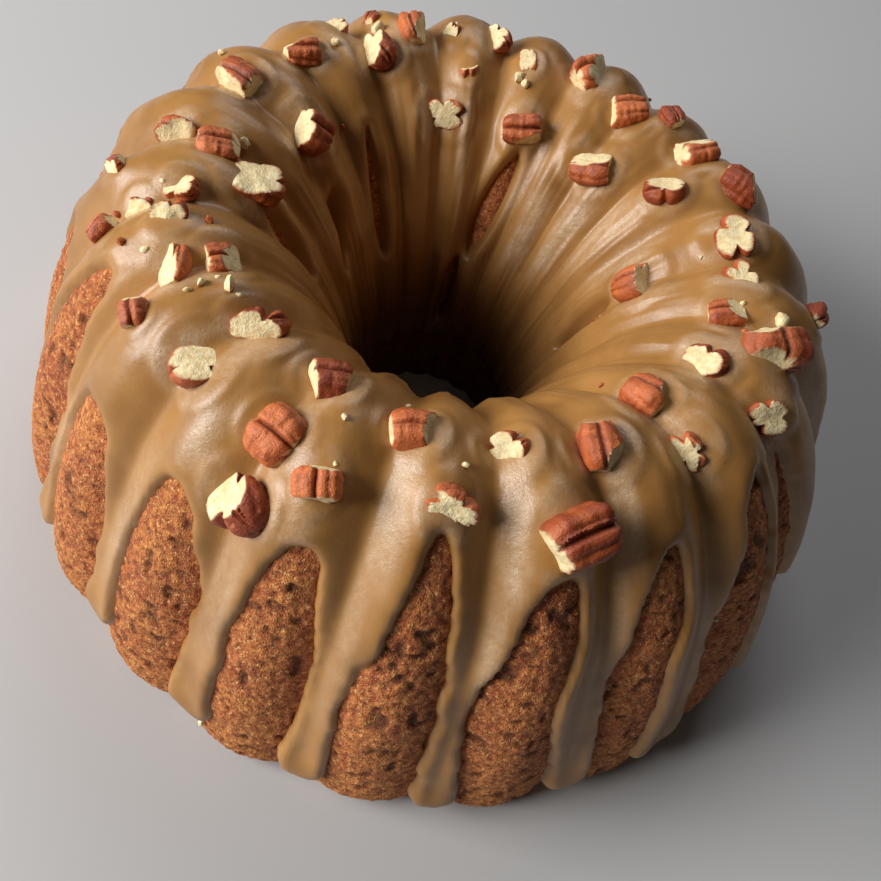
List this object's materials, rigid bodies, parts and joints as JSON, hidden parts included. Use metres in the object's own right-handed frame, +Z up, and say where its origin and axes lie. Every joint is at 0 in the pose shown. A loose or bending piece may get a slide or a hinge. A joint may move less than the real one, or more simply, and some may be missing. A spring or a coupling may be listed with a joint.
{
  "type": "bundt cake",
  "caption": "Fluted ring cake with a glossy caramel icing that runs down its grooves and broken pecans stuck round its crown.",
  "frame": {"origin": "centre of the flat base, on the axis of the hole", "axes": "+Z up, the hole's axis; -Y is the front, the side the picture's camera is on; +X is to the right of it"},
  "size_m": [0.2486, 0.2493, 0.1106],
  "materials": {
    "crust": "matte, crumbly brown crust",
    "icing": "soft satin caramel",
    "pecan_skin": "satin red-brown nut skin",
    "pecan_flesh": "matte cream broken nut"
  },
  "bodies": {
    "root": {"cake": "crust", "icing": "icing", "pecan_01": "pecan_skin", "pecan_02": "pecan_skin", "pecan_03": "pecan_skin", "pecan_04": "pecan_flesh", "pecan_05": "pecan_skin", "pecan_06": "pecan_skin", "pecan_07": "pecan_flesh", "pecan_08": "pecan_flesh", "pecan_09": "pecan_skin", "pecan_10": "pecan_flesh", "pecan_11": "pecan_flesh", "pecan_12": "pecan_skin", "pecan_13": "pecan_skin", "pecan_14": "pecan_skin", "pecan_15": "pecan_skin", "pecan_16": "pecan_skin", "pecan_17": "pecan_skin", "pecan_18": "pecan_skin", "pecan_19": "pecan_skin", "pecan_20": "pecan_flesh", "pecan_21": "pecan_flesh", "pecan_22": "pecan_skin", "pecan_23": "pecan_skin", "pecan_24": "pecan_skin", "pecan_25": "pecan_flesh", "pecan_26": "pecan_skin", "pecan_27": "pecan_flesh", "pecan_28": "pecan_skin", "pecan_29": "pecan_flesh", "pecan_30": "pecan_skin", "pecan_31": "pecan_skin", "pecan_32": "pecan_skin", "pecan_33": "pecan_skin", "pecan_34": "pecan_skin", "pecan_35": "pecan_flesh", "pecan_36": "pecan_skin", "pecan_37": "pecan_flesh", "pecan_38": "pecan_skin", "pecan_39": "pecan_skin", "pecan_40": "pecan_skin", "pecan_41": "pecan_skin", "pecan_42": "pecan_skin", "pecan_43": "pecan_skin", "pecan_44": "pecan_skin", "pecan_45": "pecan_flesh", "pecan_46": "pecan_flesh", "pecan_47": "pecan_skin", "pecan_48": "pecan_flesh", "pecan_49": "pecan_skin", "pecan_50": "pecan_skin", "pecan_51": "pecan_skin", "pecan_52": "pecan_skin", "pecan_53": "pecan_skin", "pecan_54": "pecan_skin", "pecan_55": "pecan_flesh", "pecan_56": "pecan_skin"}
  },
  "joints": []
}
